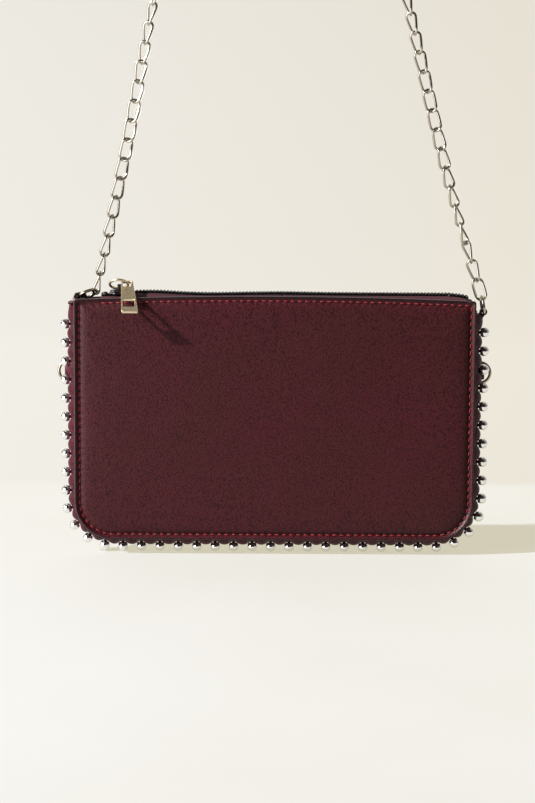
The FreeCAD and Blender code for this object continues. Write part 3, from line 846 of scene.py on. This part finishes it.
band_sheet("gusset_band", "gusset", 0.0, BAND_SHEET, 1.0, BAND_LEATHER)
band_sheet("gusset_sheet", "gusset_lining", BAND_SHEET + 0.1, BAND_SHEET + BAND_LINING,
                   0.94, LINING)
stud_backs()
stud_rows()


# ---------------------------------------------------------------- zip

COIL_LEFT = -87.0
COIL_RIGHT = 96.5
COIL_PITCH = 1.72
COIL_RADIUS = 0.86
COIL_HEIGHT = 130.3
COIL_WIRE = 0.34
COIL_SPLIT = 4.0
MOUTH_LEFT = -58.0
MOUTH_RIGHT = 66.0


def zip_lift(x):
    """How far the zip's line bows up between its ends."""
    ends = clamp((x + 79.0) / 8.0) * clamp((COIL_RIGHT - x) / 10.0)
    bow = 0.85 + 0.75 * math.exp(-((x + 62.0) / 13.0) ** 2)
    bow += 0.30 * math.exp(-((x - 3.0) / 18.0) ** 2) - 0.28 * math.exp(-((x + 32.0) / 14.0) ** 2)
    return ends * bow - 0.9 * math.exp(-((x - 99.0) / 4.0) ** 2)


def coil_path(side, start, end):
    """The monofilament's winding, its heads meeting those of the other side."""
    shift = 0.5 * COIL_PITCH if side > 0 else 0.0
    turns = (end - start) / COIL_PITCH
    path = []
    for step in range(round(turns * 12)):
        angle = 2 * math.pi * step / 12
        x = start + shift + COIL_PITCH * step / 12
        y = side * COIL_RADIUS * (1 - math.cos(angle))
        z = COIL_HEIGHT - 0.25 * side + 0.8 * math.sin(angle) + zip_lift(x)
        path.append(at(x + 0.3 * math.sin(angle), y, z))
    return path


def tape_rings(side, start, end, section):
    """A strip along X whose thin section follows (y, z, lift share) points."""
    rings = []
    count = round((end - start) / 1.5)
    for number in range(count + 1):
        x = start + (end - start) * number / count
        lift = zip_lift(x)
        rings.append([at(x, side * y, z + lift * share) for y, z, share in section])
    return rings


MOVING_TAPE = [(7.15, 128.15, 0.0), (6.2, 128.75, 0.15), (5.0, 129.2, 0.4), (3.6, 129.5, 0.8),
               (2.2, 129.72, 1.0), (0.9, 129.78, 1.0), (0.9, 129.4, 1.0), (2.2, 129.3, 1.0),
               (3.6, 129.1, 0.8), (5.0, 128.8, 0.4), (6.2, 128.35, 0.15), (7.0, 127.9, 0.0)]
SEWN_TAPE = [(7.15, 128.2, 0.0), (7.75, 127.4, 0.0), (7.75, 117.4, 0.0), (7.45, 117.4, 0.0),
             (7.45, 127.2, 0.0), (6.95, 127.95, 0.0)]
COIL_CORE = [(0.45, 129.6, 1.0), (1.3, 129.6, 1.0), (1.5, 130.2, 1.0), (1.2, 130.8, 1.0),
             (0.5, 130.8, 1.0)]


def zip_side(name, side):
    """Tape and coil of one side in a left and a right half, and the sewn strip of tape."""
    for half, start, end, fixed, sign in (("left", COIL_LEFT, COIL_SPLIT, MOUTH_LEFT, 1),
                                          ("right", COIL_SPLIT, COIL_RIGHT, MOUTH_RIGHT, -1)):
        coil = Solid()
        coil.rings(tube_rings(coil_path(side, start, end), COIL_WIRE * MM, 7))
        coil.rings(tape_rings(side, start, end, COIL_CORE))
        piece = coil.piece("coil_%s_%s" % (name, half), COIL, None)
        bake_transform(piece)
        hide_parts("zip_coil_ends_" + name, "mouth_coil_" + name)
        tape = Solid()
        tape.rings(tape_rings(side, start, end, MOVING_TAPE))
        piece = tape.piece("tape_%s_%s" % (name, half), TAPE, None)
        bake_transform(piece)
        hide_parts("zip_tape_" + name, "mouth_tape_" + name)
    sewn = Solid()
    sewn.rings(tape_rings(side, -95.0, 95.0, SEWN_TAPE))
    piece = sewn.piece("tape_%s_sewn" % name, TAPE)
    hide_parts("zip_tape_" + name)


zip_side("front", -1)
zip_side("back", 1)


ROUND_STEPS = 5


def plate_piece(name, loops, thickness, bevel, material, body, place):
    """A flat plate with holes and rounded edges, made in its own plane and then placed."""
    data = bpy.data.curves.new(name, "CURVE")
    data.dimensions = "2D"
    data.fill_mode = "BOTH"
    data.extrude = (thickness / 2 - bevel) * MM
    data.bevel_depth = bevel * MM
    data.bevel_resolution = 3
    data.offset = -bevel * MM
    for loop in loops:
        spline = data.splines.new("POLY")
        spline.points.add(len(loop) - 1)
        for point, (x, z) in zip(spline.points, loop):
            point.co = (x * MM, z * MM, 0, 1)
        spline.use_cyclic_u = True
    mesh = mesh_of(data)
    mesh.name = name
    mesh.transform(place)
    mesh.materials.clear()
    mesh.materials.append(material)
    work = bmesh.new()
    work.from_mesh(mesh)
    bmesh.ops.remove_doubles(work, verts=work.verts, dist=1e-6)
    bmesh.ops.recalc_face_normals(work, faces=work.faces)
    work.to_mesh(mesh)
    work.free()
    for face in mesh.polygons:
        face.use_smooth = False
    piece = show(bpy.data.objects.new(name, mesh))
    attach(piece, body)
    return piece


def rounded(corners, radius):
    """A polygon with each corner turned into an arc."""
    points = []
    count = len(corners)
    for number, corner in enumerate(corners):
        here = Vector(corner)
        back = (Vector(corners[number - 1]) - here).normalized()
        ahead = (Vector(corners[(number + 1) % count]) - here).normalized()
        for step in range(ROUND_STEPS + 1):
            share = step / ROUND_STEPS
            start = here + back * radius
            end = here + ahead * radius
            low = start.lerp(here, share)
            high = here.lerp(end, share)
            spot = low.lerp(high, share)
            points.append((spot.x, spot.y))
    return points


def upright_plane(x, y, z, lean):
    """Places a plate made in the XY plane upright in XZ, leaning about X."""
    stand = Matrix.Rotation(math.radians(90), 4, "X")
    tilt = Matrix.Rotation(math.radians(-lean), 4, "X")
    return Matrix.Translation(at(x, y, z)) @ tilt @ stand


SLIDER_X = -78.0
SLIDER_LENGTH = 9.0
PULL_RING_Z = 133.4
PULL_RING_RADIUS = 4.55
PULL_RING_WIRE = 0.65
PULL_RING_TILT = 32.0
TAB_LEAN = 51.0
TAB_SHIFT = -0.6
TAB_SKEW = 2.6


def slider_pieces():
    """The slider's body and the bridge that holds the pull's ring."""
    half = SLIDER_LENGTH / 2
    shield = rounded([(-half, -3.2), (-half + 1.6, -4.2), (half - 2.4, -4.2), (half, -2.6),
                      (half, 2.6), (half - 2.4, 4.2), (-half + 1.6, 4.2), (-half, 3.2)], 0.9)
    for name, middle, thickness in (("slider_top", 132.18, 1.44), ("slider_base", 128.3, 1.1)):
        place = Matrix.Translation(at(SLIDER_X, 0, middle))
        piece = plate_piece(name, [shield], thickness, 0.35, DARK_METAL, "slider", place)
        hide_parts("slider_body")
    rims = Solid()
    for side in (-1, 1):
        path = [at(SLIDER_X + x, side * 3.65, 131.0) for x in (-3.4, -1.5, 0.5, 2.0)]
        rims.rings(tube_rings(path, 0.52 * MM, 10))
    wedge = [at(SLIDER_X - half + x, 0, z) for x, z in ((0.9, 128.8), (0.9, 130.2), (0.9, 131.6))]
    rims.rings(tube_rings(wedge, 0.32 * MM, 10))
    piece = rims.piece("slider_rims", DARK_METAL, "slider")
    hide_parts("slider_body")
    bridge = Solid()
    rings = []
    for step in range(17):
        angle = math.pi * step / 16
        y = -2.1 * math.cos(angle)
        z = 132.8 + 2.55 * math.sin(angle) ** 0.7
        out = Vector((0, -math.cos(angle), math.sin(angle)))
        centre = at(SLIDER_X, y, z)
        ring = []
        for along, thick in ((-1.1, -0.35), (-0.9, 0.45), (0.9, 0.45), (1.1, -0.35)):
            ring.append(centre + Vector((along * MM, 0, 0)) + out * (thick * MM))
        rings.append(ring)
    bridge.rings(rings)
    piece = bridge.piece("slider_bridge", DARK_METAL, "slider")
    modifier = piece.modifiers.new("round", "BEVEL")
    modifier.width = 0.2 * MM
    modifier.segments = 2
    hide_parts("slider_crown")


def pull_pieces():
    """The round ring and the tapered tab with its eye and window."""
    tilt = math.radians(PULL_RING_TILT)
    centre = Vector((SLIDER_X, -PULL_RING_RADIUS * math.cos(tilt),
                     PULL_RING_Z + PULL_RING_RADIUS * math.sin(tilt)))
    across = Vector((1, 0, 0))
    up = Vector((0, -math.cos(tilt), math.sin(tilt)))
    path = circle_of(at(*centre), across, up, PULL_RING_RADIUS * MM, 56)
    ring = Solid()
    ring.rings(tube_rings(path, PULL_RING_WIRE * MM, 14, closed=True), closed_along=True)
    piece = ring.piece("pull_wire", NICKEL, "pull_ring")
    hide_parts("pull_ring")

    low_left = (-4.2 + TAB_SKEW, -20.8)
    low_right = (4.2 + TAB_SKEW, -20.8)
    body = rounded([(-2.95, 2.0), low_left, low_right, (2.95, 2.0)], 0.9)
    eye = rounded([(-2.1, 1.25), (-1.95, -2.3), (2.25, -2.3), (2.1, 1.25)], 0.5)
    window = rounded([(-1.35, -11.8), (-0.95, -17.2), (4.75, -17.2), (4.35, -11.8)], 0.5)
    place = upright_plane(centre.x + PULL_RING_RADIUS + TAB_SHIFT, centre.y, centre.z, TAB_LEAN)
    piece = plate_piece("pull_plate", [body, eye, window], 1.5, 0.32, NICKEL, "pull_tab", place)
    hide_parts("pull_tab")


def stop_piece(name, x, material):
    """A stop clamped over both coils, with rounded cheeks."""
    solid = Solid()
    rings = []
    for along, size in ((-1.0, 0.75), (-0.8, 1.0), (0.8, 1.0), (1.0, 0.75)):
        ring = []
        for step in range(20):
            angle = 2 * math.pi * step / 20
            y = 2.25 * size * math.cos(angle)
            z = 130.55 + 1.35 * size * math.sin(angle)
            ring.append(at(x + along, y, z))
        rings.append(ring)
    solid.rings(rings)
    piece = solid.piece(name + "_clamp", material)
    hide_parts(name)


slider_pieces()
pull_pieces()
stop_piece("top_stop", -85.0, COIL)
stop_piece("bottom_stop", 87.6, COIL)


# ---------------------------------------------------------------- rings, loops and ends

def d_wire(name, node, x, y, z, bow, straight, half, depth):
    """A wire D: a straight side along one direction, bowed out along another."""
    points = [at(x, y, z) + straight * (value * MM) for value in spaced(-half, half, 12)]
    radius = (half * half + depth * depth) / (2 * depth)
    spread = math.asin(min(half / radius, 1.0))
    if depth > half:
        spread = math.pi - spread
    for step in range(41):
        angle = spread - 2 * spread * step / 40
        along = radius * math.sin(angle)
        out = depth - radius + radius * math.cos(angle)
        points.append(at(x, y, z) + straight * (along * MM) + bow * (out * MM))
    ring = Solid()
    ring.rings(tube_rings(points, RING_WIRE * MM, 14, closed=True), closed_along=True)
    piece = ring.piece(name, RING_METAL, node)
    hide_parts(node)


def bow_way(tilt):
    angle = math.radians(tilt)
    return Vector((math.cos(angle), 0, math.sin(angle)))


def strip(name, node, path, across, half_width, thickness, material):
    """A leather strip with rounded edges that follows a path of points."""
    solid = Solid()
    rings = []
    count = len(path)
    for number, point in enumerate(path):
        before = path[max(number - 1, 0)]
        after = path[min(number + 1, count - 1)]
        normal = (after - before).normalized().cross(across)
        ring = []
        for wide, thick in ((-1, 0.2), (-0.93, 0.5), (0.93, 0.5), (1, 0.2), (1, -0.2),
                            (0.93, -0.5), (-0.93, -0.5), (-1, -0.2)):
            edge = point + across * (wide * half_width * MM)
            ring.append(edge + normal * (thick * thickness * MM))
        rings.append(ring)
    solid.rings(rings)
    piece = solid.piece(name, material)
    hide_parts(node)


SIDE_RING = (104.3, 6.1, 91.5)
LOOP_RADIUS = 1.5


def around(x, z, radius, start, end, steps):
    """Points of an arc about a bar, from one angle to another in degrees."""
    points = []
    for step in range(steps + 1):
        angle = math.radians(start + (end - start) * step / steps)
        points.append((x + radius * math.cos(angle), z + radius * math.sin(angle)))
    return points


def rings_and_loops():
    """The wire rings at the ends, their leather loops and the caps over the band's ends."""
    deep = Vector((0, 1, 0))
    upright = Vector((0, 0, 1))
    for name, ring, roll in (("left", LEFT_RING, -18.0), ("right", RIGHT_RING, 0.0)):
        bow = bow_way(ring[2])
        straight = Matrix.Rotation(math.radians(roll), 3, bow) @ deep
        d_wire("d_ring_top_" + name, "top_ring_" + name, ring[0], 0, ring[1], bow,
               straight, TOP_RING_HALF, TOP_RING_DEPTH)
    for name, sign in (("left", -1), ("right", 1)):
        d_wire("d_ring_side_" + name, "side_ring_" + name, sign * SIDE_RING[0], SIDE_RING[1],
               SIDE_RING[2], Vector((sign, 0, 0)), upright, 5.2, 4.9)
    x, z, _ = LEFT_RING
    loop = [(x - 3.4, z - 1.6), (x - 1.5, z - 1.45)]
    loop.extend(around(x, z, 1.45, -90, 90, 12))
    loop.extend([(x - 1.6, z + 1.45), (x - 3.1, z + 1.2), (x - 3.6, z + 0.2), (x - 3.7, z - 0.9)])
    path = [at(px, 0, pz) for px, pz in loop]
    strip("loop_top_left", "top_loop_left", path, deep, 3.0, 1.2, DARK_LEATHER)
    core = [at(x - 3.2, 0, z - 0.1), at(x - 1.1, 0, z)]
    strip("loop_top_left_core", "top_loop_left", core, deep, 2.9, 1.8, DARK_LEATHER)
    x, z, _ = RIGHT_RING
    loop = [(x - 3.2, 114.8), (x - 2.8, 119.0), (x - 1.9, 121.2), (x - 1.3, z - 0.3)]
    loop.extend(around(x, z, 1.3, 180, -80, 14))
    loop.extend([(x - 0.3, z - 2.0), (x - 1.1, z - 3.0)])
    path = [at(px, 0, pz) for px, pz in loop]
    strip("loop_top_right", "top_loop_right", path, deep, 3.0, 0.85, DARK_LEATHER)
    for name, sign in (("left", -1), ("right", 1)):
        path = []
        for step in range(25):
            angle = 2 * math.pi * step / 24
            path.append(at(sign * (SIDE_RING[0] + LOOP_RADIUS * math.cos(angle)),
                           SIDE_RING[1] + LOOP_RADIUS * math.sin(angle), SIDE_RING[2]))
        strip("loop_side_" + name, "side_loop_" + name, path, upright, 3.4, 1.05, BAND_LEATHER)
    cap_left = [at(x, 0, z) for x, z in ((-103.2, 126.5), (-99.0, 126.85), (-94.0, 126.85),
                                         (-89.2, 126.85))]
    strip("cap_left", "end_cap_left", cap_left, deep, 6.7, 1.1, BAND_LEATHER)
    cap_right = [at(x, 0, z) for x, z in ((91.2, 126.8), (93.5, 126.8), (95.4, 126.55),
                                          (97.4, 125.2), (99.2, 123.9), (100.7, 122.9))]
    strip("cap_right", "end_cap_right", cap_right, deep, 6.7, 1.1, BAND_LEATHER)


rings_and_loops()


# ---------------------------------------------------------------- loose thread ends

def thread_ends():
    """Cut ends of the seam's red thread at the left top corner."""
    solid = Solid()
    for x, y, z, dx, dz in ((-99.6, -8.6, 128.2, -0.5, 1.6), (-99.9, -8.0, 127.9, -1.2, 1.1),
                            (-101.4, -5.5, 125.4, -1.6, 0.5), (-101.2, -5.2, 124.6, -1.8, -0.2),
                            (-101.0, -4.8, 123.4, -1.3, 0.7)):
        path = [at(x, y, z), at(x + dx * 0.5, y, z + dz * 0.7), at(x + dx, y - 0.1, z + dz)]
        solid.rings(tube_rings(path, 0.17 * MM, 6))
    piece = solid.piece("thread_ends", THREAD)


thread_ends()


# ---------------------------------------------------------------- carried-over parts

def dress(material, *names):
    """Gives CAD parts that keep their shape a finished surface."""
    for name in names:
        mesh = nodes[name].data
        mesh.materials.clear()
        mesh.materials.append(material)


dress(LINING, "front_lining", "back_lining", "card_pocket_high", "card_pocket_low",
      "slip_pocket", "card_pocket_high_seams", "card_pocket_low_seams", "slip_pocket_seams")
dress(BOARD, "front_board", "back_board")


# ---------------------------------------------------------------- stage and light

STAGE_HALF_M = 3.0
FLOOR_END_M = 0.236
FLOOR_FADE_M = (-0.72, -0.42)
CAMERA_BACK_M = 0.95
ROOM_BRIGHT = 0.47
ROOM_DARK = 0.02
SUN_POWER = 9.2
SUN_WAY = (1.55, 0.57, -1.0)
WINDOW_POWER = 2.2
WINDOW_SIZE_M = 0.35


def stage_material():
    """A pale floor that turns into a glowing cream backdrop behind the wallet, its glow paler to
    the left as painted light.
    """
    shader = Shader("stage", srgb(120, 126, 146), 0.8)
    split = shader.node("ShaderNodeSeparateXYZ", {"Vector": shader.place})
    depth = shader.maths("ADD", split.outputs["Y"], CAMERA_BACK_M)
    across = shader.maths("DIVIDE", split.outputs["X"], depth)
    side = shader.spread(across, -0.15, 0.15)
    wall = shader.spread(split.outputs["Y"], FLOOR_END_M - 0.012, FLOOR_END_M + 0.012)
    floor_albedo = shader.mix(shader.noise(9.0, 4.0), srgb(110, 115, 131), srgb(100, 104, 119))
    near = shader.spread(split.outputs["Y"], FLOOR_FADE_M[0], FLOOR_FADE_M[1])
    floor_albedo = shader.mix(near, srgb(92, 88, 80), floor_albedo)
    shader.put("Base Color", shader.mix(wall, floor_albedo, srgb(60, 60, 60)))
    # Painted light: the backdrop's glow is paler and cooler to the left, darker and warmer to the
    # right.
    cream = shader.mix(side, srgb(234, 231, 223), srgb(229, 222, 207))
    shader.put("Emission Color", shader.mix(wall, srgb(211, 204, 177), cream))
    shader.put("Emission Strength", shader.spread(near, 0.0, 1.0, 0.06, 0.87))
    return shader.material


def add_stage():
    """Floor and backdrop in one sheet, curved where they meet far behind."""
    profile = [(-STAGE_HALF_M, 0.0), (0.0, 0.0), (0.2, 0.0), (0.3, 0.0), (1.3, 0.0)]
    for step in range(1, 13):
        angle = math.pi / 2 * step / 12
        profile.append((1.3 + 0.8 * math.sin(angle), 0.8 - 0.8 * math.cos(angle)))
    profile.append((2.1, STAGE_HALF_M))
    points = []
    for y, z in profile:
        points.append((-STAGE_HALF_M, y, z))
        points.append((STAGE_HALF_M, y, z))
    faces = []
    for number in range(len(profile) - 1):
        low = 2 * number
        faces.append((low, low + 1, low + 3, low + 2))
    stage = add_piece("stage", points, faces, [stage_material()], None)


def add_world():
    """A pale room with a dark patch behind and above the camera."""
    world = bpy.data.worlds.new("studio")
    world.use_nodes = True
    tree = world.node_tree
    ground = tree.nodes["Background"]
    place = tree.nodes.new("ShaderNodeTexCoord")
    facing = tree.nodes.new("ShaderNodeVectorMath")
    facing.operation = "DOT_PRODUCT"
    facing.inputs[1].default_value = Vector((-0.1, -0.93, 0.25)).normalized()
    tree.links.new(place.outputs["Generated"], facing.inputs[0])
    dark = tree.nodes.new("ShaderNodeMapRange")
    dark.inputs["From Min"].default_value = -0.35
    dark.inputs["From Max"].default_value = 0.75
    dark.inputs["To Min"].default_value = ROOM_BRIGHT
    dark.inputs["To Max"].default_value = ROOM_DARK
    tree.links.new(facing.outputs["Value"], dark.inputs["Value"])
    ground.inputs["Color"].default_value = (1.0, 0.98, 0.94, 1.0)
    tree.links.new(dark.outputs["Result"], ground.inputs["Strength"])
    bpy.context.scene.world = world


def add_light(name, kind, power, colour, place, way):
    """A light at a place that shines along a direction."""
    data = bpy.data.lights.new(name, kind)
    data.energy = power
    data.color = colour
    light = show(bpy.data.objects.new(name, data))
    light.location = place
    light.rotation_euler = (-way).to_track_quat("Z", "Y").to_euler()
    return data


def add_sun():
    """One clear light from the upper left and a little in front."""
    way = Vector(SUN_WAY).normalized()
    sun = add_light("key", "SUN", SUN_POWER, (1.0, 0.98, 0.95), Vector(), way)
    sun.angle = math.radians(1.6)


def add_window():
    """A soft light near the left end, which gives the leather there a pale sheen."""
    place = at(-420, -330, 190)
    way = at(-90, 0, 90) - place
    window = add_light("window", "AREA", WINDOW_POWER, (0.86, 0.9, 1.0), place, way)
    window.size = WINDOW_SIZE_M


add_stage()
add_world()
add_sun()
add_window()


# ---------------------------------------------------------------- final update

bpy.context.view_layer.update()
